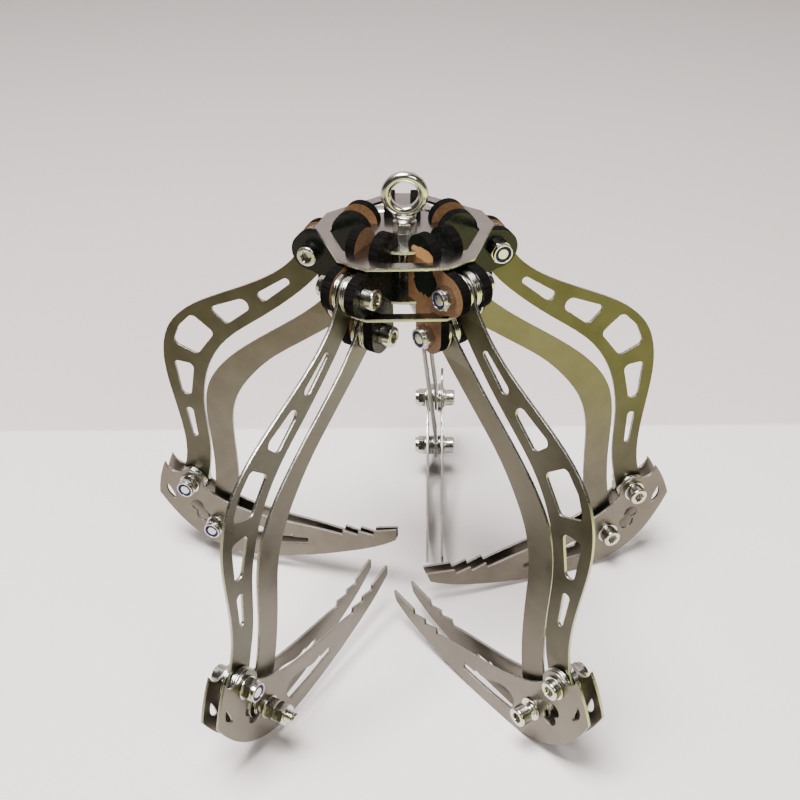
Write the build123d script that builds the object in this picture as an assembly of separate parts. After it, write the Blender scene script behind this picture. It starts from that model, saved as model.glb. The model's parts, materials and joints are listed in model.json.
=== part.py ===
from build123d import *
import os
from math import cos, sin, radians

# Grapnel of the grab pattern: a two-plate hub under an eye bolt, and five claw arms.
# Millimetres, +Z up. Every arm is drawn in its own station frame: X is the distance from the hub
# axis, Y runs along the pivot bolts and Z is up. The station is then turned about the hub axis.
# Thin arms flex, so each one has its own direction, sideways lean, opening and claw tilt.

# ---- driving dimensions ------------------------------------------------------------------------
SHEET = 1.5                     # stainless sheet of the plates and bars
BOARD = 5.0                     # faced board of the ears

STATIONS = ("rear", "left", "front_left", "front_right", "right")
AZIMUTH = dict(rear=88.6, left=160.4, front_left=239.0, front_right=307.2, right=19.8)
LEAN = dict(rear=-15.0, left=-6.0, front_left=-10.5, front_right=-9.7, right=-5.5)
OPENED = dict(rear=0.0, left=0.0, front_left=2.0, front_right=0.0, right=0.0)
CLAW_TILT = dict(rear=0.5, left=10.0, front_left=3.2, front_right=-1.0, right=0.0)
TIP_HALF_SPACING = dict(rear=4.2, left=1.4, front_left=5.3, front_right=5.9, right=3.2)

FIRST_CORNER = 90.6             # direction of the plates' rear station
HUB_RADIUS = 42.5               # corner circle of the ten-sided plates
HUB_CORNER = 10.5               # half angle of the short edge at a station
HUB_DISC = 22.5                 # solid middle of each plate
HUB_WINDOW_FLAT = 33.3          # distance of the window's outer flats from the axis
TOP_PLATE_Z = 12.5              # middle of the top plate above the upper pivots
BOTTOM_PLATE_Z = -13.3          # middle of the bottom plate

UPPER_PIVOT = (43.9, 0.0)       # (distance from the axis, height over the upper pivots)
LINK = (-14.5, -26.5)           # upper pivot to lower pivot, and claw pivot to link pivot
CLAW_PIVOT = (133.4, -168.5)

BAR_Y = -0.5                    # middle of both bars along the bolts
LEAN_START, LEAN_END = -12.0, -157.0    # heights between which the outer bar leans
GAP = 7.5                       # clear width between two ears, and between two claw plates
SNUG = 0.05                     # gap left between parts that are clamped together
PIN_CLEARANCE = 0.1             # radial clearance of a bar on its bolt
OPEN_CLEARANCE = 0.5            # the same at the claw's link bolt

BOLT = 6.0                      # M6 socket head cap screws and M6 eye bolt
HEAD_DIAMETER, HEAD_HEIGHT = 10.0, 6.0
SOCKET_FLATS = 5.0              # hexagon socket, half as deep as the head is high
NUT_FLATS, NUT_HEX_HEIGHT = 10.0, 4.1
COLLAR_RADIUS, COLLAR_HEIGHT = 4.75, 1.9    # round top of a locking nut
NYLON_RADIUS = 4.1              # nylon ring inside that collar
PLAIN_NUT_HEIGHT, PLAIN_NUT_PITCH = 5.0, 5.2
SCREW_TO_NUT_END = 5.8          # screws end just inside the collar
WASHER_THICK, WASHER_PITCH = 1.0, 1.03
WIDE_WASHER, SMALL_WASHER = 18.0, 12.0
LONG_LINK_BOLT = dict(front_left=9.5)       # extra length, held by two plain nuts
HIGH_LINK_HEAD = dict(front_right=3.0)      # head stands off the claw plate
LOW_PIVOT_HEAD = dict(front_right=3.3)      # button head instead of a full one

EYE_WIRE, EYE_OUTER = 5.0, 22.0
EYE_BORE = 12.5                 # flat land inside the ring
EYE_RISE = 31.6                 # ring centre above the upper pivots
EYE_COLLAR_LOW, EYE_COLLAR_HIGH = 4.6, 5.5      # radii of the collar under the ring
EYE_COLLAR_OVERLAP = 1.3        # how far the collar reaches up round the ring's foot
EYE_BOLT_END = -25.0

upper = Vector(UPPER_PIVOT[0], UPPER_PIVOT[1])
lower = upper + Vector(*LINK)
claw_pivot = Vector(*CLAW_PIVOT)
link_pivot = claw_pivot + Vector(*LINK)


# ---- small helpers -----------------------------------------------------------------------------
def from_point(origin, pairs):
    """Points given from a pivot, as drawing points in the station plane."""
    return [origin + Vector(x, z) for x, z in pairs]


def round_hull(*circles):
    """Smooth outline round several circles, each given as (centre, radius)."""
    return make_hull((Sketch() + [Pos(c.X, c.Y) * Circle(r) for c, r in circles]).edges())


def upright(sketch, y_middle, thickness):
    """The drawing stood up in the station's XZ plane, centred on y_middle."""
    return Pos(0, y_middle, 0) * extrude(Plane.XZ * sketch, thickness / 2, both=True)


def hole(centre, diameter):
    return Pos(centre.X, centre.Y) * Circle(diameter / 2)


def along_bolt(shape, centre, y):
    """A part drawn along +Z, laid along +Y with its base at y, on a pivot."""
    return Pos(centre.X, y, centre.Y) * Rotation(-90, 0, 0) * shape


def reversed_along_bolt(shape, centre, y):
    """The same, pointing along -Y."""
    return Pos(centre.X, y, centre.Y) * Rotation(90, 0, 0) * shape


def hub_shift(name):
    """Sideways place of a station's ears, which sit on the plates' own five-fold pattern."""
    nominal = FIRST_CORNER + 72 * STATIONS.index(name)
    return upper.X * sin(radians(nominal - AZIMUTH[name]))


def station(shape, name, sideways=0.0):
    return Rotation(0, 0, AZIMUTH[name]) * Pos(0, sideways, 0) * shape


def arm_claw_pivot(name):
    """Claw pivot of one arm, with its bars swung out by their opening."""
    return upper + (claw_pivot - upper).rotate(Axis.Z, OPENED[name])


def swung(bar, pivot, name):
    """A bar turned outward about its hub pivot."""
    return Pos(pivot.X, 0, pivot.Y) * Rotation(0, -OPENED[name], 0) * Pos(-pivot.X, 0, -pivot.Y) * bar


def leaning_sheet(sketch, name, drop):
    """The drawing stood up as sheet that leans sideways between its two pivots."""
    hub_y = hub_shift(name) + BAR_Y
    claw_y = LEAN[name] + BAR_Y
    path = [(hub_y, 40), (hub_y, LEAN_START - drop), (claw_y, LEAN_END - drop), (claw_y, -240)]
    edges = [[(y + offset, z) for y, z in path] for offset in (-SHEET / 2, SHEET / 2)]
    profile = make_face(Polyline(*edges[0], *reversed(edges[1]), close=True))
    slab = extrude(Plane.YZ * profile, 260)
    return extrude(Plane.XZ * sketch, 40, both=True) & slab


# ---- fasteners, drawn along +Z -----------------------------------------------------------------
def hex_prism(flats, height):
    corner = flats / 2 / cos(radians(30))
    rounded = chamfer(Cylinder(corner, height, align=(Align.CENTER, Align.CENTER, Align.MIN)).edges()
                      .filter_by(GeomType.CIRCLE), 0.45)
    return extrude(RegularPolygon(corner, 6), height) & rounded


def tube(outer, inner, height):
    return extrude(Circle(outer) - Circle(inner), height)


def nyloc_nut():
    collar = tube(COLLAR_RADIUS, NYLON_RADIUS + 0.03, COLLAR_HEIGHT)
    body = hex_prism(NUT_FLATS, NUT_HEX_HEIGHT) - Cylinder(BOLT / 2 + 0.05, 20)
    return body + Pos(0, 0, NUT_HEX_HEIGHT) * collar


def nylon_ring():
    return Pos(0, 0, NUT_HEX_HEIGHT + 0.02) * tube(NYLON_RADIUS, BOLT / 2 + 0.02, COLLAR_HEIGHT - 0.2)


def plain_nut():
    return hex_prism(NUT_FLATS, PLAIN_NUT_HEIGHT) - Cylinder(BOLT / 2 + 0.05, 20)


def cap_screw(length, head_height=HEAD_HEIGHT):
    """Socket head standing on z = 0, shank down to -length."""
    low = (Align.CENTER, Align.CENTER, Align.MIN)
    head = Cylinder(HEAD_DIAMETER / 2, head_height, align=low)
    head = fillet(head.edges().filter_by(GeomType.CIRCLE).sort_by(Axis.Z)[-1:], 0.6)
    socket = extrude(RegularPolygon(SOCKET_FLATS / 2 / cos(radians(30)), 6), head_height / 2)
    shank = chamfer(Cylinder(BOLT / 2, length, align=low).edges().filter_by(GeomType.CIRCLE)
                    .sort_by(Axis.Z)[:1], 0.5)
    return head - Pos(0, 0, head_height / 2) * socket + Pos(0, 0, -length) * shank


def washer(diameter):
    return tube(diameter / 2, BOLT / 2 + 0.15, WASHER_THICK)


def washer_stacks(centre, diameter):
    """Two washers on the -Y side of the bar and three on its +Y side, inside the gap."""
    low_side = [-GAP / 2 + SNUG + i * WASHER_PITCH for i in range(2)]
    high_side = [GAP / 2 - SNUG - WASHER_THICK - i * WASHER_PITCH for i in range(3)]
    return [along_bolt(washer(diameter), centre, y) for y in low_side + high_side]


# ---- hub ---------------------------------------------------------------------------------------
def hub_plate(z_middle, slot_start, slot_end):
    corners = [Vector(HUB_RADIUS, 0).rotate(Axis.Z, FIRST_CORNER + 72 * k + side * HUB_CORNER)
               for k in range(5) for side in (-1, 1)]
    outline = make_face(Polyline(*corners, close=True))
    windows = RegularPolygon(HUB_WINDOW_FLAT, 10, major_radius=False) - Circle(HUB_DISC)
    slots = Sketch()
    for name in STATIONS:
        turn = Rotation(0, 0, AZIMUTH[name]) * Pos(0, hub_shift(name))
        windows -= turn * Pos(30, 0) * Rectangle(40, GAP - 0.3)
        for side in (-1, 1):
            middle = Pos((slot_start + slot_end) / 2, side * (GAP + BOARD) / 2)
            slots += turn * middle * Rectangle(slot_end - slot_start, BOARD + 0.2)
    face = outline - windows - slots - Circle(BOLT / 2 + 0.15)
    return Pos(0, 0, z_middle) * extrude(face, SHEET / 2, both=True)


DOME_RADIUS = 9.1
DOME_X = 23.6                   # middle of the dome from the hub axis
EAR_LOBE = 10.0                 # round the upper pivot
EAR_FOOT = 9.4                  # round the lower pivot
PLATE_REST = 0.05               # ear shoulder to plate


def ear_outline():
    top = TOP_PLATE_Z - SHEET / 2 - PLATE_REST
    bottom = BOTTOM_PLATE_Z + SHEET / 2 + PLATE_REST
    inner = DOME_X - DOME_RADIUS
    dome = Pos(DOME_X, top + SHEET) * Circle(DOME_RADIUS)
    neck = Pos(DOME_X, top) * Rectangle(2 * DOME_RADIUS, 2 * SHEET + 1)
    block_corners = [(inner, bottom), (lower.X + EAR_FOOT, bottom), (upper.X, -EAR_LOBE),
                     (upper.X, EAR_LOBE), (DOME_X + DOME_RADIUS + 3, top), (inner, top)]
    block = make_face(Polyline(*block_corners, close=True))
    lobe = Pos(upper.X, upper.Y) * Circle(EAR_LOBE)
    leg = Pos(lower.X, lower.Y / 2 - 3) * Rectangle(2 * EAR_FOOT, -lower.Y - 6)
    foot = Pos(lower.X, lower.Y) * Circle(EAR_FOOT)
    bores = hole(upper, BOLT + 0.2) + hole(lower, BOLT + 0.2)
    return dome + neck + block + lobe + leg + foot - bores


def ear(side):
    return upright(ear_outline(), side * (GAP + BOARD) / 2, BOARD)


def hub_bolt_parts(centre):
    """Screw, nut and nylon ring of one hub pivot: head on +Y, nut on -Y."""
    outside = GAP / 2 + BOARD + 0.05
    screw = along_bolt(cap_screw(2 * outside + SCREW_TO_NUT_END), centre, outside)
    nut = reversed_along_bolt(nyloc_nut(), centre, -outside)
    ring = reversed_along_bolt(nylon_ring(), centre, -outside)
    return screw, nut, ring


def eye_bolt():
    ring_radius = (EYE_OUTER - EYE_WIRE) / 2
    ring = Torus(ring_radius, EYE_WIRE / 2) - Cylinder(EYE_BORE / 2, 2 * EYE_WIRE)
    ring = Pos(0, 0, EYE_RISE) * Rotation(90, 0, 0) * ring
    plate_top = TOP_PLATE_Z + SHEET / 2
    collar_z = plate_top + PLAIN_NUT_HEIGHT + 2 * SNUG
    collar_height = EYE_RISE - EYE_OUTER / 2 + EYE_COLLAR_OVERLAP - collar_z
    low = (Align.CENTER, Align.CENTER, Align.MIN)
    collar = Pos(0, 0, collar_z) * Cone(EYE_COLLAR_LOW, EYE_COLLAR_HIGH, collar_height, align=low)
    shank = Pos(0, 0, EYE_BOLT_END) * Cylinder(BOLT / 2, collar_z - EYE_BOLT_END + 1, align=low)
    return ring + collar + shank


# ---- arm bars ----------------------------------------------------------------------------------
def bar_face(ends, outer_edge, inner_edge, far_tips):
    """A bar between two rounded ends. Edges run from the hub end to the claw end."""
    outer = Spline(*outer_edge)
    inner = Spline(*inner_edge)
    hub_cap = ThreePointArc(inner_edge[0], far_tips[0], outer_edge[0])
    claw_cap = ThreePointArc(outer_edge[-1], far_tips[1], inner_edge[-1])
    return make_face([outer, claw_cap, inner, hub_cap]) - [hole(p, d) for p, d in ends]


def outer_bar(name):
    """Bar with five lightening holes, from the upper pivot to the claw pivot."""
    outer_edge = from_point(upper, [(6.9, 3.2), (16.3, -12.4), (34.5, -26.0), (63.0, -40.7),
                                    (79.0, -50.6), (91.0, -64.0), (96.2, -81.0), (95.2, -105.0),
                                    (91.3, -136.0), (92.4, -153.0), (97.2, -166.4)])
    inner_edge = from_point(upper, [(-6.9, -3.2), (-1.2, -13.6), (14.3, -30.7), (38.6, -50.8),
                                    (55.0, -64.2), (66.3, -78.7), (72.9, -94.9), (75.9, -115.0),
                                    (75.8, -140.0), (77.6, -155.0), (81.8, -170.6)])
    tips = from_point(upper, [(-3.2, 6.9), (91.6, -176.2)])
    face = bar_face([(upper, BOLT + 2 * PIN_CLEARANCE), (claw_pivot, BOLT + 2 * PIN_CLEARANCE)],
                    outer_edge, inner_edge, tips)
    holes = [
        [(18.8, -24.0, 2.0), (32.5, -34.9, 2.9)],
        [(45.2, -42.8, 3.9), (60.0, -48.2, 2.8), (55.3, -52.6, 2.8)],
        [(75.2, -57.6, 3.3), (67.6, -63.5, 3.2), (76.5, -75.0, 3.3), (84.9, -71.8, 3.3), (80.8, -64.6, 4.2)],
        [(82.2, -88.8, 3.2), (87.8, -87.8, 2.4), (85.6, -104.4, 3.2)],
        [(85.4, -118.7, 2.2), (84.2, -134.8, 1.6)],
    ]
    for circles in holes:
        face -= round_hull(*[(upper + Vector(x, z), r) for x, z, r in circles])
    return swung(leaning_sheet(face, name, 0.0), upper, name)


def inner_bar(name):
    """Plain bar from the lower pivot to the claw's link pivot."""
    outer_edge = from_point(upper, [(-8.4, -21.4), (8.2, -38.4), (33.5, -57.8), (49.5, -70.5),
                                    (62.0, -83.0), (70.6, -97.0), (74.0, -115.5), (73.6, -137.0),
                                    (74.6, -163.0), (82.8, -193.1)])
    inner_edge = from_point(upper, [(-20.6, -31.6), (0.0, -48.3), (15.0, -59.5), (31.5, -72.5),
                                    (44.0, -86.0), (53.5, -100.5), (58.2, -116.5), (59.0, -137.0),
                                    (60.0, -165.0), (67.2, -196.9)])
    tips = from_point(upper, [(-20.6, -21.4), (77.0, -202.7)])
    face = bar_face([(lower, BOLT + 2 * PIN_CLEARANCE), (link_pivot, BOLT + 2 * OPEN_CLEARANCE)],
                    outer_edge, inner_edge, tips)
    return swung(leaning_sheet(face, name, -LINK[1]), lower, name)


# ---- claws -------------------------------------------------------------------------------------
CLAW_BEND_X = -26.0             # where the plates start to lean together, from the claw pivot


def claw_outline():
    """Outline from the claw pivot: horn, heel, blunt tip, three teeth, throat and pivot lobe."""
    horn, heel = (13.0, 14.2), (22.7, -7.2)
    tip_low, tip_high = (-123.4, -31.6), (-125.5, -25.8)
    lobe_start, lobe_end = (-8.2, -2.4), (4.5, 7.3)
    teeth = [tip_high, (-108.9, -27.8), (-108.0, -30.9), (-99.3, -28.4), (-98.6, -31.3),
             (-89.8, -28.3), (-88.8, -31.4)]
    return make_face([
        ThreePointArc(horn, (19.1, 3.0), heel),
        Spline(heel, (16.0, -20.5), (6.5, -33.0), (-6.0, -42.5), (-25.0, -48.6), (-45.0, -49.0),
               (-70.0, -46.5), (-95.0, -41.8), (-112.0, -37.0), tip_low),
        Line(tip_low, tip_high),
        *[Line(a, b) for a, b in zip(teeth, teeth[1:])],
        Spline(teeth[-1], (-69.3, -26.6), (-49.0, -22.3), (-32.0, -17.4), (-19.0, -10.9),
               (-11.5, -5.6), lobe_start),
        ThreePointArc(lobe_start, (-3.5, 7.8), lobe_end),
        ThreePointArc(lobe_end, (9.3, 8.2), horn),
    ])


def claw_holes():
    """Crescent, double round hole and the long stepped slot behind the teeth."""
    crescent_top, crescent_foot = (15.3, -0.6), (12.2, -11.8)
    crescent = make_face([ThreePointArc(crescent_top, (16.9, -6.0), crescent_foot),
                          ThreePointArc(crescent_foot, (13.6, -5.4), crescent_top)])
    double_round = Pos(-0.5, -15.8) * Circle(4.0) + Pos(-2.6, -22.4) * Circle(4.4)
    step_high, step_low = (-57.5, -32.6), (-57.5, -34.6)
    slot = make_face([
        Spline((-27.5, -32.5), (-30.8, -28.2), (-35.0, -27.4), (-41.5, -29.4), step_high),
        Polyline(step_high, step_low, (-67.0, -35.0), (-66.4, -39.0), (-57.0, -39.6), (-46.0, -39.9),
                 (-30.0, -39.2), (-27.5, -32.5)),
    ])
    return crescent + double_round + slot


def bent_sheet(name, side):
    """Plan of a claw plate: straight past its pivots, then leaning in to the tip spacing."""
    near, far = 26.0, -125.0
    root_y = side * (GAP + SHEET) / 2
    tip_y = side * TIP_HALF_SPACING[name]
    path = [(near, root_y), (CLAW_BEND_X, root_y), (far, tip_y)]
    edges = [[(x, y + offset) for x, y in path] for offset in (-SHEET / 2, SHEET / 2)]
    plan = make_face(Polyline(*edges[0], *reversed(edges[1]), close=True))
    return Pos(0, 0, -80) * extrude(plan, 110)


def claw_plate(name, side):
    """One of the two plates. The outline is tipped on its pivots."""
    drawing = Rotation(0, 0, -CLAW_TILT[name]) * (claw_outline() - claw_holes())
    drawing -= hole(Vector(0, 0), BOLT + 0.2)
    drawing -= hole(Vector(*LINK), BOLT + 0.2)
    block = extrude(Plane.XZ * drawing, 12, both=True)
    pivot = arm_claw_pivot(name)
    return Pos(pivot.X, 0, pivot.Y) * (block & bent_sheet(name, side))


def claw_bolt_parts(name):
    """Screws, nuts, nylon rings and outside washers of a claw: heads on -Y, nuts on +Y."""
    plate_face = GAP / 2 + SHEET + SNUG
    washer_face = plate_face + WASHER_THICK + SNUG
    screws, nuts, rings, washers = [], [], [], []
    pivot = arm_claw_pivot(name)
    for at_link in (False, True):
        centre = pivot + Vector(*LINK) if at_link else pivot
        inside = SMALL_WASHER if at_link else WIDE_WASHER
        stand_off = HIGH_LINK_HEAD.get(name, 0.0) if at_link else 0.0
        reach = LONG_LINK_BOLT.get(name, 0.0) if at_link else 0.0
        head = HEAD_HEIGHT if at_link else LOW_PIVOT_HEAD.get(name, HEAD_HEIGHT)
        length = 2 * washer_face + SCREW_TO_NUT_END + stand_off + reach
        screws.append(reversed_along_bolt(cap_screw(length, head), centre, -washer_face - stand_off))
        washers += washer_stacks(centre, inside)
        washers.append(along_bolt(washer(SMALL_WASHER), centre, plate_face))
        washers.append(reversed_along_bolt(washer(SMALL_WASHER), centre, -plate_face))
        if reach:
            for i in range(2):
                nuts.append(along_bolt(plain_nut(), centre, washer_face + PLAIN_NUT_PITCH * i))
        else:
            nuts.append(along_bolt(nyloc_nut(), centre, washer_face))
            rings.append(along_bolt(nylon_ring(), centre, washer_face))
    return screws, nuts, rings, washers


# ---- assembly ----------------------------------------------------------------------------------
nodes = {
    "hub_plate_top": hub_plate(TOP_PLATE_Z, DOME_X - DOME_RADIUS - 0.15, DOME_X + DOME_RADIUS + 0.15),
    "hub_plate_bottom": hub_plate(BOTTOM_PLATE_Z, lower.X - EAR_FOOT - 0.15, lower.X + EAR_FOOT + 0.15),
    "eye_bolt": eye_bolt(),
    "eye_bolt_nut_top": Pos(0, 0, TOP_PLATE_Z + SHEET / 2 + SNUG) * plain_nut(),
    "eye_bolt_nut_bottom": Pos(0, 0, BOTTOM_PLATE_Z - SHEET / 2 - SNUG - PLAIN_NUT_HEIGHT) * plain_nut(),
}
hub_screws, hub_nuts, hub_rings, hub_washers = [], [], [], []
for name in STATIONS:
    shift, lean = hub_shift(name), LEAN[name]
    nodes[f"{name}_ear_a"] = station(ear(-1), name, shift)
    nodes[f"{name}_ear_b"] = station(ear(1), name, shift)
    for centre in (upper, lower):
        screw, nut, ring = hub_bolt_parts(centre)
        hub_screws.append(station(screw, name, shift))
        hub_nuts.append(station(nut, name, shift))
        hub_rings.append(station(ring, name, shift))
        hub_washers += [station(w, name, shift) for w in washer_stacks(centre, WIDE_WASHER)]
    nodes[f"{name}_outer_bar"] = station(outer_bar(name), name)
    nodes[f"{name}_inner_bar"] = station(inner_bar(name), name)
    nodes[f"{name}_claw_plate_a"] = station(claw_plate(name, -1), name, lean)
    nodes[f"{name}_claw_plate_b"] = station(claw_plate(name, 1), name, lean)
    for kind, solids in zip(("screws", "nuts", "nut_rings", "washers"), claw_bolt_parts(name)):
        nodes[f"{name}_claw_{kind}"] = Compound([station(s, name, lean) for s in solids])
nodes["hub_pivot_screws"] = Compound(hub_screws)
nodes["hub_pivot_nuts"] = Compound(hub_nuts)
nodes["hub_nut_rings"] = Compound(hub_rings)
nodes["hub_spacer_washers"] = Compound(hub_washers)

# The part stands on z = 0, with the middle of its footprint on the origin.
whole = Compound([shape for shape in nodes.values()]).bounding_box()
stand = Pos(-(whole.min.X + whole.max.X) / 2, -(whole.min.Y + whole.max.Y) / 2, -whole.min.Z)

os.makedirs("parts", exist_ok=True)
for node, shape in nodes.items():
    export_step(stand * shape, f"parts/{node}.step")
print("nodes", len(nodes), "stand", stand.position, "size", whole.size)
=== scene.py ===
# Looks of a five-armed retrieval grapnel on a pale floor.
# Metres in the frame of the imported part, except where a comment says millimetres.

import json
import math

import bmesh
import bpy
from mathutils import Matrix, Vector


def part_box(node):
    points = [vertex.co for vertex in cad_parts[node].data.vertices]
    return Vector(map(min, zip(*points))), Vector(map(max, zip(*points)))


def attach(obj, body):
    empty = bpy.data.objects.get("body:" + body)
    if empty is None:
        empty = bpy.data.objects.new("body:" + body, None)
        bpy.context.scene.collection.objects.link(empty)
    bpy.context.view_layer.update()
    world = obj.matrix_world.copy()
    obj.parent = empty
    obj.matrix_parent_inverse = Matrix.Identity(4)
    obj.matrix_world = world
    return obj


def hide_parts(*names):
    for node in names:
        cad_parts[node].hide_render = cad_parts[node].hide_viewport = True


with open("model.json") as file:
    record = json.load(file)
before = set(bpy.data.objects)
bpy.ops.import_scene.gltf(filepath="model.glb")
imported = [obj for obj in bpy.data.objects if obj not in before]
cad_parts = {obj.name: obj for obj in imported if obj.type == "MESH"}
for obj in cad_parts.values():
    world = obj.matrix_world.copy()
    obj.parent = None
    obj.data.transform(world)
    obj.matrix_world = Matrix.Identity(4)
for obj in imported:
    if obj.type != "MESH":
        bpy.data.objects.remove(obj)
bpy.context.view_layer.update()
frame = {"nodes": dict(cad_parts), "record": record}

MM = 0.001
UP = Vector((0, 0, 1))
ARMS = ("rear", "left", "front_left", "front_right", "right")
BODIES = frame["record"]["behaviour"]["bodies"]
NODE_BODY = {node: body for body, nodes in BODIES.items() for node in nodes}
JOINTS = {joint["name"]: joint for joint in frame["record"]["behaviour"]["joints"]}

# HUB is the point on the hub's axis at the height of the upper pivots.
EYE_LOW, EYE_HIGH = (Vector(corner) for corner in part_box("eye_bolt"))
HUB_X = (EYE_LOW.x + EYE_HIGH.x) / 2
HUB_Y = (EYE_LOW.y + EYE_HIGH.y) / 2
PIVOT_Z = JOINTS["rear_open"]["pos_m"][2]
HUB = Vector((HUB_X, HUB_Y, PIVOT_Z))


def bolt_axis(arm):
    """Direction of an arm's pivot bolts, from ear a to ear b."""
    return -Vector(JOINTS[arm + "_open"]["axis"])


def arm_azimuth(arm):
    """Angle about the hub's axis at which an arm points, from +X."""
    axis = bolt_axis(arm)
    return math.atan2(-axis.x, axis.y)


# ---- shaders -----------------------------------------------------------------------------------
MIX_FIRST, MIX_SECOND, MIX_RESULT = 6, 7, 2     # the colour sockets of Blender's Mix node


class Shader:
    """One Principled material, with short ways to hang textures on it."""

    def __init__(self, name, color, roughness, metallic=0.0, **sockets):
        self.material = bpy.data.materials.new(name)
        self.material.use_nodes = True
        self.nodes = self.material.node_tree.nodes
        self.links = self.material.node_tree.links
        self.main = self.nodes["Principled BSDF"]
        self.set("Base Color", (*color, 1.0))
        self.set("Roughness", roughness)
        self.set("Metallic", metallic)
        for socket, value in sockets.items():
            self.set(socket.replace("_", " "), value)

    def set(self, socket, value):
        self.main.inputs[socket].default_value = value

    def drive(self, socket, value):
        self.links.new(value, self.main.inputs[socket])

    def node(self, kind, **settings):
        """A new node. Each setting is the value of an input, or else a property of the node."""
        made = self.nodes.new(kind)
        for key, value in settings.items():
            if key in made.inputs:
                made.inputs[key].default_value = value
            else:
                setattr(made, key, value)
        return made

    def coordinates(self, scale=(1, 1, 1), turn=0.0, origin=(0, 0, 0)):
        """Object coordinates from an origin, turned about Z, then scaled per axis."""
        vector = self.node("ShaderNodeTexCoord").outputs["Object"]
        moved = dict(Location=tuple(-c for c in origin))
        for step in (moved, dict(Rotation=(0, 0, turn)), dict(Scale=scale)):
            mapping = self.node("ShaderNodeMapping", **step)
            self.links.new(vector, mapping.inputs["Vector"])
            vector = mapping.outputs["Vector"]
        return vector

    def split(self, vector):
        made = self.node("ShaderNodeSeparateXYZ")
        self.links.new(vector, made.inputs[0])
        return made.outputs["X"], made.outputs["Y"], made.outputs["Z"]

    def math(self, operation, first, second=0.0):
        """Result of a Math node. Each operand is a number or a socket."""
        made = self.node("ShaderNodeMath", operation=operation)
        for socket, value in enumerate((first, second)):
            if isinstance(value, (int, float)):
                made.inputs[socket].default_value = value
            else:
                self.links.new(value, made.inputs[socket])
        return made.outputs[0]

    def ellipse(self, x, z, centre, radii, lean=0.0):
        """Distance from an ellipse's middle, 1 on its rim. Its first radius leans up by lean."""
        across = self.math("SUBTRACT", x, centre[0])
        up = self.math("SUBTRACT", z, centre[1])
        c = math.cos(lean)
        s = math.sin(lean)
        along = self.math("ADD", self.math("MULTIPLY", across, c), self.math("MULTIPLY", up, s))
        aside = self.math("SUBTRACT", self.math("MULTIPLY", up, c), self.math("MULTIPLY", across, s))
        squares = []
        for value, radius in ((along, radii[0]), (aside, radii[1])):
            part = self.math("ABSOLUTE", self.math("DIVIDE", value, radius))
            squares.append(self.math("POWER", part, 2.0))
        return self.math("SQRT", self.math("ADD", *squares))

    def noise(self, vector, scale, detail=3.0):
        made = self.node("ShaderNodeTexNoise", Scale=scale, Detail=detail, Roughness=0.55)
        self.links.new(vector, made.inputs["Vector"])
        return made.outputs["Fac"]

    def spread(self, value, low, high, start=0.3, end=0.7):
        """value, stretched so that start..end becomes low..high."""
        ends = {"From Min": start, "From Max": end, "To Min": low, "To Max": high}
        made = self.node("ShaderNodeMapRange", **ends)
        self.links.new(value, made.inputs["Value"])
        return made.outputs["Result"]

    def mix(self, factor, first, second):
        """Colour from first to second. Each is a colour or a socket."""
        made = self.node("ShaderNodeMix", data_type="RGBA")
        self.links.new(factor, made.inputs["Factor"])
        for socket, color in ((MIX_FIRST, first), (MIX_SECOND, second)):
            if isinstance(color, tuple):
                made.inputs[socket].default_value = (*color, 1.0)
            else:
                self.links.new(color, made.inputs[socket])
        return made.outputs[MIX_RESULT]

    def bump(self, value, strength, distance):
        made = self.node("ShaderNodeBump", Strength=strength, Distance=distance)
        self.links.new(value, made.inputs["Height"])
        self.links.new(made.outputs["Normal"], self.main.inputs["Normal"])


# ---- metal and nylon ---------------------------------------------------------------------------
def sheet_steel(name, dark, light, roughness):
    """Stainless sheet with fine grain and faint blotches, between two colours and two roughnesses."""
    shader = Shader(name, light, roughness[0], 1.0)
    grain = shader.noise(shader.coordinates(), 2600.0, 2.0)
    blotch = shader.noise(shader.coordinates(), 60.0, 4.0)
    shader.drive("Base Color", shader.mix(shader.spread(blotch, 0.0, 1.0), dark, light))
    shader.drive("Roughness", shader.spread(blotch, *roughness))
    shader.bump(grain, 0.08, 0.05 * MM)
    return shader.material


def cut_edge():
    """Bright sheared edge of the sheet, with fine drag lines."""
    shader = Shader("cut_edge", (0.38, 0.38, 0.34), 0.3, 1.0)
    lines = shader.noise(shader.coordinates((1, 1, 0.3)), 1700.0, 2.0)
    shader.drive("Roughness", shader.spread(lines, 0.22, 0.42))
    shader.bump(lines, 0.25, 0.08 * MM)
    return shader.material


def fastener_steel():
    """Polished steel of the screws, nuts, washers and the eye bolt."""
    shader = Shader("fastener_steel", (0.56, 0.55, 0.50), 0.18, 1.0)
    wear = shader.noise(shader.coordinates(), 450.0)
    shader.drive("Roughness", shader.spread(wear, 0.13, 0.28))
    return shader.material


# The hub plates, bars and claws are one stainless steel. The bars and claws are given darker colours than
# the plates as painted shade, the outer bars darkest; the grain and blotches are the steel's own.
PLATE_STEEL = sheet_steel("plate_steel", (0.34, 0.325, 0.30), (0.41, 0.395, 0.37), (0.17, 0.25))
SHADED_OUTER_STEEL = sheet_steel("shaded_outer_steel", (0.058, 0.054, 0.036), (0.082, 0.077, 0.053), (0.26, 0.36))
SHADED_INNER_STEEL = sheet_steel("shaded_inner_steel", (0.095, 0.086, 0.064), (0.130, 0.119, 0.091), (0.28, 0.40))
SHADED_CLAW_STEEL = sheet_steel("shaded_claw_steel", (0.125, 0.111, 0.087), (0.170, 0.152, 0.122), (0.28, 0.40))
EDGE = cut_edge()
FASTENER = fastener_steel()
NYLON = Shader("nylon", (0.006, 0.008, 0.070), 0.4, Specular_IOR_Level=0.15).material


# ---- board of the ears -------------------------------------------------------------------------
FILM = (0.004, 0.006, 0.005)
FIBRE_DARK = (0.105, 0.049, 0.016)
FIBRE_LIGHT = (0.195, 0.097, 0.036)
FRESH_FIBRE = (0.43, 0.225, 0.080)

PEELED_EAR = ("front_right", "a")       # its film is torn
FLIPPED_EAR = ("front_right", "b")      # stands with its brown side outwards

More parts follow.
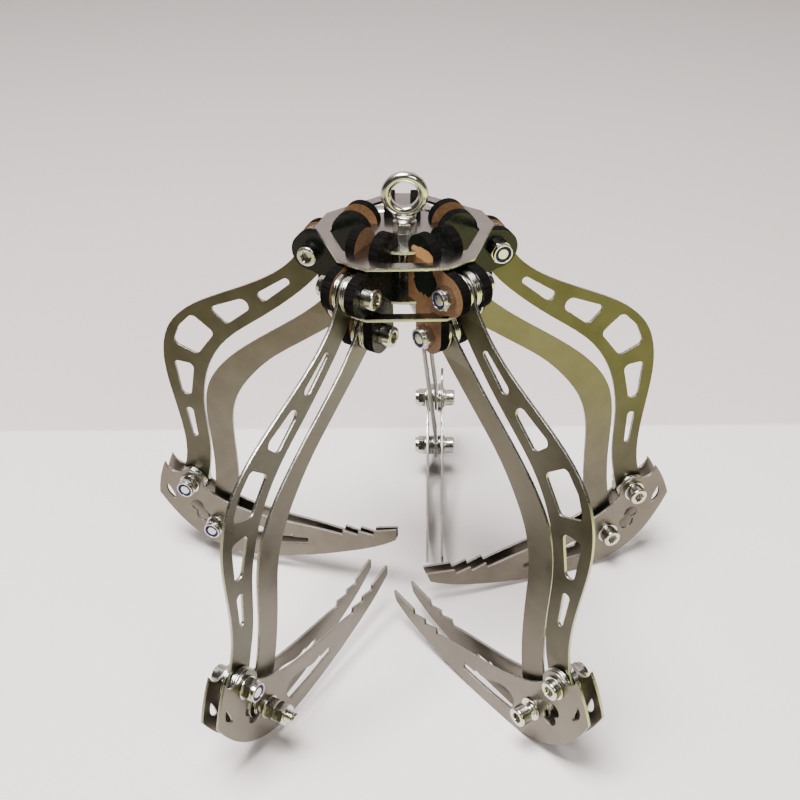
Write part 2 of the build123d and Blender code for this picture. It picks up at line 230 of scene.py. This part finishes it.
# Wear of the peeled ear, in millimetres outwards from the hub's axis and up from the upper pivots.
PLATE_TOP = 13.25
OVAL_CENTRE = (27.3, 0.6)
OVAL_RADII = (9.2, 7.0)
OVAL_LEAN = math.radians(23)
CHIP_CENTRE = (25.5, 13.6)
CHIP_RADII = (8.5, 3.0)
RAG_DEPTH = 0.7                         # how far the noise moves the rims of the oval and the chip
RAG_RIM = 1.35


def board_face():
    """Glossy black film on the outside of the board."""
    shader = Shader("board_face", FILM, 0.2, Coat_Weight=0.06, Coat_Roughness=0.10, Specular_IOR_Level=0.2)
    scuff = shader.noise(shader.coordinates(), 320.0, 4.0)
    shader.drive("Roughness", shader.spread(scuff, 0.14, 0.34))
    return shader.material


def fibre_texture(shader):
    """Height and colour of bare brown fibre."""
    fibre = shader.noise(shader.coordinates(), 700.0, 5.0)
    return fibre, shader.mix(shader.spread(fibre, 0.0, 1.0), FIBRE_DARK, FIBRE_LIGHT)


def board_back():
    """Bare brown fibre side of the board."""
    shader = Shader("board_back", FIBRE_LIGHT, 0.62)
    fibre, brown = fibre_texture(shader)
    shader.drive("Base Color", brown)
    shader.bump(fibre, 0.2, 0.15 * MM)
    return shader.material


def peeled_face(arm):
    """Film torn off between the plates, except an oval, with a bright chip at the foot of the dome."""
    shader = Shader("peeled_face", FILM, 0.3)
    x, _, z = shader.split(shader.coordinates((1 / MM,) * 3, -arm_azimuth(arm), HUB))
    fibre, brown = fibre_texture(shader)
    rag = shader.math("MULTIPLY", shader.noise(shader.coordinates(), 420.0, 4.0), RAG_DEPTH)
    oval = shader.math("ADD", shader.ellipse(x, z, OVAL_CENTRE, OVAL_RADII, OVAL_LEAN), rag)
    chip = shader.math("ADD", shader.ellipse(x, z, CHIP_CENTRE, CHIP_RADII), rag)
    outside_oval = shader.math("GREATER_THAN", oval, RAG_RIM)
    below_plate = shader.math("LESS_THAN", z, PLATE_TOP)
    peeled = shader.math("MULTIPLY", outside_oval, below_plate)
    chipped = shader.math("LESS_THAN", chip, RAG_RIM)
    worn = shader.mix(peeled, FILM, brown)
    shader.drive("Base Color", shader.mix(chipped, worn, FRESH_FIBRE))
    bare = shader.math("MAXIMUM", peeled, chipped)
    shader.drive("Roughness", shader.spread(bare, 0.2, 0.65, 0.0, 1.0))
    shader.bump(fibre, 0.15, 0.15 * MM)
    return shader.material


def board_edge(arm):
    """Scorched edge of the board, ribbed across its thickness."""
    shader = Shader("board_edge_" + arm, (0.004, 0.004, 0.004), 0.8, Specular_IOR_Level=0.03)
    ribs = shader.noise(shader.coordinates((1.0, 0.06, 1.0), -arm_azimuth(arm)), 1500.0, 2.0)
    scorched = shader.mix(shader.spread(ribs, 0.0, 1.0), (0.001, 0.001, 0.001), (0.008, 0.007, 0.007))
    shader.drive("Base Color", scorched)
    shader.bump(ribs, 0.6, 0.3 * MM)
    return shader.material


BOARD_FACE = board_face()
BOARD_BACK = board_back()
PEELED_FACE = peeled_face(PEELED_EAR[0])
BOARD_EDGE = {arm: board_edge(arm) for arm in ARMS}


# ---- pieces that keep the outline of their CAD node ----------------------------------------------
WELD = 1e-6
FLAT_ANGLE = math.radians(0.4)          # faces that meet below this angle are one flat area
ROUNDED_ANGLE = math.radians(38)        # edges sharper than this get a rounding
CREASE_ANGLE = math.radians(42)         # edges sharper than this stay creased on turned pieces
FACING = 0.9                            # least cosine between a sheet's normal and that of its faces

SHEET_ROUNDING = 0.16 * MM
BOARD_ROUNDING = 0.25 * MM
FASTENER_ROUNDING = 0.15 * MM
NYLON_ROUNDING = 0.1 * MM
EYE_NUT_ROUNDING = 0.3 * MM


def publish(mesh, name, node, materials):
    """A finished mesh becomes the shown piece for one CAD node."""
    piece = bpy.data.objects.new(name, mesh)
    bpy.context.scene.collection.objects.link(piece)
    for material in materials:
        mesh.materials.append(material)
    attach(piece, NODE_BODY[node])
    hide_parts(node)
    return piece


def surface_of(node):
    """The node's surface as a bmesh, with doubled corners merged."""
    surface = bmesh.new()
    surface.from_mesh(frame["nodes"][node].data)
    bmesh.ops.remove_doubles(surface, verts=surface.verts, dist=WELD)
    return surface


def soften(piece, width, flat):
    """Rounds the sharp edges and shades smooth, apart from the faces whose material index is in flat."""
    bevel = piece.modifiers.new("edge", "BEVEL")
    bevel.width = width
    bevel.segments = 2
    bevel.limit_method = "ANGLE"
    bevel.angle_limit = ROUNDED_ANGLE
    bevel.harden_normals = True
    bevel.material = -1
    for polygon in piece.data.polygons:
        polygon.use_smooth = polygon.material_index not in flat


def dress(node, materials, pick, rounding, flat=()):
    """Shows a CAD node as a piece with rounded edges. pick(face) gives the index of its material."""
    surface = surface_of(node)
    bmesh.ops.dissolve_limit(surface, angle_limit=FLAT_ANGLE, verts=surface.verts, edges=surface.edges)
    surface.normal_update()
    for face in surface.faces:
        face.material_index = pick(face)
    mesh = bpy.data.meshes.new(node + "_skin")
    surface.to_mesh(mesh)
    surface.free()
    piece = publish(mesh, node + "_skin", node, materials)
    soften(piece, rounding, flat)


def dress_sheet(node, normal, steel):
    """Sheet metal, with its own finish on both faces and another round the cut edges."""

    def pick(face):
        return 0 if abs(face.normal.dot(normal)) > FACING else 1

    dress(node, (steel, EDGE), pick, SHEET_ROUNDING, flat=(0,))


def dress_ear(arm, letter):
    """Board: black film on one face, brown on the other, scorched round the edge."""
    outward = bolt_axis(arm) * (-1 if letter == "a" else 1)
    if (arm, letter) == FLIPPED_EAR:
        outward = -outward
    front = PEELED_FACE if (arm, letter) == PEELED_EAR else BOARD_FACE

    def pick(face):
        across = face.normal.dot(outward)
        if across > FACING:
            return 0
        return 1 if across < -FACING else 2

    dress(f"{arm}_ear_{letter}", (front, BOARD_BACK, BOARD_EDGE[arm]), pick, BOARD_ROUNDING, flat=(0, 1))


def dress_plain(node, material, rounding):
    """One material all over."""
    dress(node, (material,), lambda face: 0, rounding)


# ---- turned and threaded pieces, in millimetres ----------------------------------------------------
HEAD_RADIUS = 5.0
SHANK_RADIUS = 3.0
SOCKET_FLATS = 5.0
PITCH = 1.0
THREAD_DEPTH = 0.42
THREAD_STEPS = 4                        # rings in one turn of thread
RUN_OUT = 3                             # rings over which a thread fades at its ends
CLAW_THREAD = 9.0
LONG_CLAW_THREAD = 14.0                 # on the front-left arm, whose link bolt is longer
HUB_THREAD = 10.0


class Turned:
    """A round body built ring by ring along +Z, then set on its axis."""

    def __init__(self, sides=72):
        self.sides = sides
        self.surface = bmesh.new()
        self.last = None

    def ring(self, z, radius):
        """Adds a ring. radius is a number, or a function of the angle."""
        ring = []
        for i in range(self.sides):
            angle = 2 * math.pi * i / self.sides
            r = radius(angle) if callable(radius) else radius
            ring.append(self.surface.verts.new((r * math.cos(angle), r * math.sin(angle), z)))
        if self.last:
            for i in range(self.sides):
                j = (i + 1) % self.sides
                self.surface.faces.new((self.last[i], self.last[j], ring[j], ring[i]))
        self.last = ring

    def cap(self, ring, z):
        """Closes a ring with a fan round a point on the axis."""
        tip = self.surface.verts.new((0, 0, z))
        for i in range(self.sides):
            self.surface.faces.new((ring[i], ring[(i + 1) % self.sides], tip))

    def thread(self, start, end):
        """Helical thread from start to end."""
        steps = max(2, round(abs(end - start) / PITCH * THREAD_STEPS))
        for i in range(steps + 1):
            z = start + (end - start) * i / steps
            depth = THREAD_DEPTH * min(1.0, i / RUN_OUT, (steps - i) / RUN_OUT)

            def crest(angle, z=z, depth=depth):
                phase = (z / PITCH - angle / (2 * math.pi)) % 1.0
                return SHANK_RADIUS - depth * (1 - abs(2 * phase - 1))

            self.ring(z, crest)

    def threaded_end(self, tip, thread_end):
        """Starts the body with the chamfered tip of a screw and its thread."""
        self.ring(tip, SHANK_RADIUS - 0.55)
        self.cap(list(reversed(self.last)), tip)
        self.ring(tip + 0.5, SHANK_RADIUS - 0.05)
        self.thread(tip + 0.55, thread_end)

    def set_on(self, base, direction):
        """Moves the body so that its origin is at base and +Z points along direction."""
        turned = direction.to_track_quat("Z", "Y").to_matrix().to_4x4()
        move = Matrix.Translation(base) @ turned @ Matrix.Scale(MM, 4)
        bmesh.ops.transform(self.surface, matrix=move, verts=self.surface.verts)


def hexagon(flats):
    """Radius of a hexagon at an angle."""
    sixth = math.pi / 3
    return lambda angle: flats / 2 / math.cos(angle % sixth - sixth / 2)


def knurled(radius, depth, ridges):
    """Radius of a ridged round at an angle."""
    return lambda angle: radius - depth * (round(angle * ridges / math.pi) % 2)


def cap_screw(length, threaded, head_height):
    """Knurled socket head standing on z = 0, shank down to -length."""
    knurl = knurled(HEAD_RADIUS, 0.16, 36)
    socket = hexagon(SOCKET_FLATS)
    body = Turned()
    body.threaded_end(-length, -length + threaded)
    body.ring(-length + threaded + 0.05, SHANK_RADIUS)
    body.ring(0.0, SHANK_RADIUS)
    body.ring(0.0, HEAD_RADIUS - 0.25)
    body.ring(0.25, HEAD_RADIUS - 0.02)
    body.ring(0.6, knurl)
    body.ring(head_height - 1.1, knurl)
    body.ring(head_height - 0.8, HEAD_RADIUS - 0.05)
    body.ring(head_height - 0.3, HEAD_RADIUS - 0.25)
    body.ring(head_height, HEAD_RADIUS - 0.75)
    body.ring(head_height, SOCKET_FLATS / 2 + 0.55)
    body.ring(head_height - 0.35, socket)
    body.ring(head_height / 2, socket)
    body.cap(body.last, head_height / 2 - 0.4)
    return body


def islands(node):
    """Corner points of each separate solid in a node."""
    surface = surface_of(node)
    unseen = set(surface.verts)
    found = []
    while unseen:
        stack = [unseen.pop()]
        points = []
        while stack:
            vert = stack.pop()
            points.append(vert.co.copy())
            for edge in vert.link_edges:
                other = edge.other_vert(vert)
                if other in unseen:
                    unseen.remove(other)
                    stack.append(other)
        found.append(points)
    surface.free()
    return found


def nearest_axis(points):
    """Bolt axis of the arm that these points belong to."""
    middle = sum(points, Vector()) / len(points)
    heading = math.atan2(middle.y - HUB_Y, middle.x - HUB_X)

    def angle_from(arm):
        return abs(math.remainder(arm_azimuth(arm) - heading, 2 * math.pi))

    return bolt_axis(min(ARMS, key=angle_from))


def screw_from(points, threaded):
    """Rebuilds one screw on the axis, ends, head side and head height of its CAD solid."""
    axis = nearest_axis(points)
    along = [point.dot(axis) for point in points]
    low = min(along)
    high = max(along)
    ends = [[p for p, a in zip(points, along) if abs(a - end) < 0.2 * MM] for end in (low, high)]
    centres = [sum(group, Vector()) / len(group) for group in ends]
    spreads = [max((p - centre).length for p in group) for group, centre in zip(ends, centres)]
    head_high = spreads[1] > spreads[0]
    centre = centres[1] if head_high else centres[0]
    direction = axis if head_high else -axis

    def off_axis(point):
        offset = point - centre
        return (offset - offset.dot(direction) * direction).length

    wide = [p.dot(direction) for p in points if off_axis(p) > SHANK_RADIUS * 1.3 * MM]
    head = max(wide) - min(wide)
    body = cap_screw((high - low - head) / MM, threaded, head / MM)
    body.set_on(centre + direction * (min(wide) - centre.dot(direction)), direction)
    return body.surface


def show_turned(node, surfaces):
    """Joins turned surfaces into the shown piece for one CAD node."""
    mesh = bpy.data.meshes.new(node + "_turned")
    whole = bmesh.new()
    for surface in surfaces:
        part = bpy.data.meshes.new("part")
        surface.to_mesh(part)
        whole.from_mesh(part)
        bpy.data.meshes.remove(part)
        surface.free()
    bmesh.ops.recalc_face_normals(whole, faces=whole.faces)
    for face in whole.faces:
        face.smooth = True
    whole.to_mesh(mesh)
    whole.free()
    publish(mesh, node + "_turned", node, (FASTENER,))
    mesh.set_sharp_from_angle(angle=CREASE_ANGLE)


def dress_screws(node, threaded):
    show_turned(node, [screw_from(points, threaded) for points in islands(node)])


# ---- eye bolt, in millimetres ----------------------------------------------------------------------
EYE_OUTER = (EYE_HIGH.x - EYE_LOW.x) / MM
EYE_WIRE = 5.0
EYE_BORE = 12.5
COLLAR_LOW = 4.6                        # radii of the flared collar
COLLAR_HIGH = 5.5
COLLAR_IN_RING = 1.3                    # how far the collar reaches into the ring


def eye_ring(centre):
    """Ring of round wire standing in the XZ plane, with a flat land inside."""
    surface = bmesh.new()
    half_wire = EYE_WIRE / 2
    middle = EYE_OUTER / 2 - half_wire
    turns = 96
    sides = 36
    grid = []
    for i in range(turns):
        around = 2 * math.pi * i / turns
        loop = []
        for j in range(sides):
            across = 2 * math.pi * j / sides
            reach = max(middle + half_wire * math.cos(across), EYE_BORE / 2)
            depth = half_wire * math.sin(across)
            place = Vector((reach * math.cos(around), depth, reach * math.sin(around)))
            loop.append(surface.verts.new(centre + place * MM))
        grid.append(loop)
    for i in range(turns):
        here = grid[i]
        there = grid[(i + 1) % turns]
        for j in range(sides):
            k = (j + 1) % sides
            surface.faces.new((here[j], there[j], there[k], here[k]))
    return surface


def dress_eye_bolt():
    """Ring, flared collar and threaded shank. Heights are from the upper pivots."""
    tip = (EYE_LOW.z - PIVOT_Z) / MM
    nut_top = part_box("eye_bolt_nut_top")[1][2]
    foot = (nut_top - PIVOT_Z) / MM + 0.05
    ring_centre = (EYE_HIGH.z - PIVOT_Z) / MM - EYE_OUTER / 2
    top = ring_centre - EYE_OUTER / 2 + COLLAR_IN_RING
    body = Turned(96)
    body.threaded_end(tip, foot - 0.2)
    body.ring(foot, SHANK_RADIUS)
    body.ring(foot, COLLAR_LOW - 0.2)
    body.ring(foot + 0.2, COLLAR_LOW)
    body.ring(top - 1.2, COLLAR_HIGH - 0.1)
    body.ring(top - 0.7, COLLAR_HIGH)
    body.ring(top - 0.3, COLLAR_HIGH - 0.15)
    body.ring(top, COLLAR_HIGH - 0.6)
    body.cap(body.last, top)
    body.set_on(HUB, UP)
    show_turned("eye_bolt", [body.surface, eye_ring(HUB + UP * (ring_centre * MM))])


# ---- the whole object --------------------------------------------------------------------------
def dress_arm(arm):
    for letter in "ab":
        dress_ear(arm, letter)
        dress_sheet(f"{arm}_claw_plate_{letter}", bolt_axis(arm), SHADED_CLAW_STEEL)
    dress_sheet(arm + "_outer_bar", bolt_axis(arm), SHADED_OUTER_STEEL)
    dress_sheet(arm + "_inner_bar", bolt_axis(arm), SHADED_INNER_STEEL)
    dress_screws(arm + "_claw_screws", LONG_CLAW_THREAD if arm == "front_left" else CLAW_THREAD)
    dress_plain(arm + "_claw_nuts", FASTENER, FASTENER_ROUNDING)
    dress_plain(arm + "_claw_washers", FASTENER, FASTENER_ROUNDING)
    dress_plain(arm + "_claw_nut_rings", NYLON, NYLON_ROUNDING)


dress_sheet("hub_plate_top", UP, PLATE_STEEL)
dress_sheet("hub_plate_bottom", UP, PLATE_STEEL)
for arm in ARMS:
    dress_arm(arm)
dress_screws("hub_pivot_screws", HUB_THREAD)
dress_plain("hub_pivot_nuts", FASTENER, FASTENER_ROUNDING)
dress_plain("hub_spacer_washers", FASTENER, FASTENER_ROUNDING)
dress_plain("hub_nut_rings", NYLON, NYLON_ROUNDING)
dress_eye_bolt()
dress_plain("eye_bolt_nut_top", FASTENER, EYE_NUT_ROUNDING)
dress_plain("eye_bolt_nut_bottom", FASTENER, EYE_NUT_ROUNDING)


# ---- stage -------------------------------------------------------------------------------------
FLOOR_HALF = 1.35
FLOOR_NEAR = (0.96, 0.90, 0.895)
FLOOR_FAR = (0.74, 0.675, 0.66)
FLOOR_STEP = 0.003                      # width of the step from the near to the far floor colour

WALL_Y = HUB_Y + 0.170
WALL_HALF = 0.40
WALL_HEIGHT = 0.75
WALL_FOOT = (0.82, 0.74, 0.765)
WALL_SHADE = (0.51, 0.46, 0.455)
WALL_SHADED_FROM = 0.28

PAPER_BACK_HALF = 0.30
PAPER_FRONT_HALF = 0.215
PAPER_FRONT_Y = HUB_Y - 0.155
CARD_HALF = 2.5
CARD_RISE = 0.0005
WARM_GREY = (0.48, 0.44, 0.31)
OLIVE = (0.94, 0.97, 0.42)
WARM_GREY_X = -0.25
OLIVE_X = 0.18
CLOTH_GLOW = 0.6

SKY_RADIUS = 9.0
SKY_COLOR = (0.56, 0.53, 0.52, 1.0)
SKY_STRENGTH = 1.7


def polygon(name, corners, material):
    """A flat stage piece."""
    mesh = bpy.data.meshes.new(name)
    mesh.from_pydata(corners, [], [tuple(range(len(corners)))])
    made = bpy.data.objects.new(name, mesh)
    bpy.context.scene.collection.objects.link(made)
    mesh.materials.append(material)
    return made


def mirrored_only(card):
    """A card that shows only as a reflection in the metal, and neither hides nor shades anything."""
    card.visible_camera = False
    card.visible_diffuse = False
    card.visible_shadow = False


def faded(name, axis, low, high, start, end, glow=0.0):
    """Matt colour that goes from low to high between two places along one axis.

    With a glow, high also shines, from nothing at 0 to full strength at end.
    """
    shader = Shader(name, low, 0.8, Specular_IOR_Level=0.0)
    place = shader.split(shader.coordinates())["XYZ".index(axis)]
    shader.drive("Base Color", shader.mix(shader.spread(place, 0.0, 1.0, start, end), low, high))
    if glow:
        lit = shader.mix(shader.spread(place, 0.0, 1.0, 0.0, end), (0, 0, 0), high)
        shader.drive("Emission Color", lit)
        shader.set("Emission Strength", glow)
    return shader.material


def lay_floor():
    paper = faded("floor_card", "Y", FLOOR_NEAR, FLOOR_FAR, WALL_Y, WALL_Y + FLOOR_STEP)
    near = [(-FLOOR_HALF, -FLOOR_HALF, 0), (FLOOR_HALF, -FLOOR_HALF, 0)]
    far = [(FLOOR_HALF, FLOOR_HALF, 0), (-FLOOR_HALF, FLOOR_HALF, 0)]
    polygon("floor", near + far, paper)


def lay_cards():
    """Mirrored cards round the pale paper: warm grey on the left, olive on the right, pale behind."""
    cloth = faded("cloth", "X", WARM_GREY, OLIVE, WARM_GREY_X, OLIVE_X, CLOTH_GLOW)
    outer_left = (-CARD_HALF, PAPER_FRONT_Y)
    outer_right = (CARD_HALF, PAPER_FRONT_Y)
    paper_left = (-PAPER_FRONT_HALF, PAPER_FRONT_Y)
    paper_right = (PAPER_FRONT_HALF, PAPER_FRONT_Y)
    plans = dict(
        front=[(-CARD_HALF, -CARD_HALF), (CARD_HALF, -CARD_HALF), outer_right, outer_left],
        left=[outer_left, paper_left, (-PAPER_BACK_HALF, WALL_Y), (-CARD_HALF, WALL_Y)],
        right=[paper_right, outer_right, (CARD_HALF, WALL_Y), (PAPER_BACK_HALF, WALL_Y)],
    )
    for place, plan in plans.items():
        mirrored_only(polygon(place + "_card", [(x, y, CARD_RISE) for x, y in plan], cloth))
    foot = [(-WALL_HALF, WALL_Y, 0), (WALL_HALF, WALL_Y, 0)]
    top = [(WALL_HALF, WALL_Y, WALL_HEIGHT), (-WALL_HALF, WALL_Y, WALL_HEIGHT)]
    wall_paper = faded("wall_paper", "Z", WALL_FOOT, WALL_SHADE, 0.0, WALL_SHADED_FROM)
    mirrored_only(polygon("wall_card", foot + top, wall_paper))


def hang_backdrop():
    """A far shell that the camera sees and that lights nothing."""
    shader = Shader("backdrop", (0, 0, 0), 1.0, Emission_Color=SKY_COLOR, Emission_Strength=SKY_STRENGTH)
    mesh = bpy.data.meshes.new("backdrop")
    surface = bmesh.new()
    bmesh.ops.create_icosphere(surface, subdivisions=4, radius=SKY_RADIUS)
    surface.to_mesh(mesh)
    surface.free()
    mesh.materials.append(shader.material)
    sky = bpy.data.objects.new("backdrop", mesh)
    bpy.context.scene.collection.objects.link(sky)
    sky.visible_diffuse = False
    sky.visible_glossy = False
    sky.visible_shadow = False


lay_floor()
lay_cards()
hang_backdrop()


# ---- light and camera --------------------------------------------------------------------------
ROOM_COLOR = (0.62, 0.58, 0.50, 1.0)
ROOM_STRENGTH = 0.10

CAMERA_BACK = 0.5305                    # from the hub's axis
CAMERA_RISE = 0.270                     # over the upper pivots
CAMERA_PITCH = math.radians(-33.56)
CAMERA_YAW = math.radians(-0.35)
CAMERA_ROLL = math.radians(-0.71)
FOCAL_LENGTH = 56.25                    # millimetres, for a sensor 36 mm wide
NEAREST_SEEN = 0.01


def area_light(name, place, target, size, power, color):
    data = bpy.data.lights.new(name, "AREA")
    data.shape = "RECTANGLE"
    data.size, data.size_y = size
    data.energy = power
    data.color = color
    made = bpy.data.objects.new(name, data)
    made.location = place
    made.rotation_euler = (Vector(target) - Vector(place)).to_track_quat("-Z", "Y").to_euler()
    bpy.context.scene.collection.objects.link(made)


def dim_room():
    world = bpy.data.worlds.new("room")
    world.use_nodes = True
    background = world.node_tree.nodes["Background"]
    background.inputs["Color"].default_value = ROOM_COLOR
    background.inputs["Strength"].default_value = ROOM_STRENGTH
    bpy.context.scene.world = world


def camera_axes():
    """The camera's rotation, from its yaw, pitch and roll."""
    across = math.cos(CAMERA_PITCH)
    ahead = Vector((math.sin(CAMERA_YAW) * across, math.cos(CAMERA_YAW) * across, math.sin(CAMERA_PITCH)))
    level = Vector((math.cos(CAMERA_YAW), -math.sin(CAMERA_YAW), 0))
    upright = level.cross(ahead)
    right = level * math.cos(CAMERA_ROLL) + upright * math.sin(CAMERA_ROLL)
    top = upright * math.cos(CAMERA_ROLL) - level * math.sin(CAMERA_ROLL)
    return Matrix((right, top, -ahead)).transposed().to_4x4()


def place_camera():
    data = bpy.data.cameras.new("camera")
    data.lens = FOCAL_LENGTH
    data.sensor_width = 36.0
    data.clip_start = NEAREST_SEEN
    camera = bpy.data.objects.new("camera", data)
    place = (HUB_X, HUB_Y - CAMERA_BACK, PIVOT_Z + CAMERA_RISE)
    camera.matrix_world = Matrix.Translation(place) @ camera_axes()
    bpy.context.scene.collection.objects.link(camera)
    bpy.context.scene.camera = camera


area_light("key", (-0.25, -0.30, 1.70), (0, 0.05, 0.1), (0.9, 0.7), 80.0, (1.0, 0.975, 0.96))
area_light("fill", (0.75, -1.3, 1.2), (0, 0, 0.1), (0.5, 0.4), 9.0, (1.0, 0.98, 0.94))
dim_room()
place_camera()
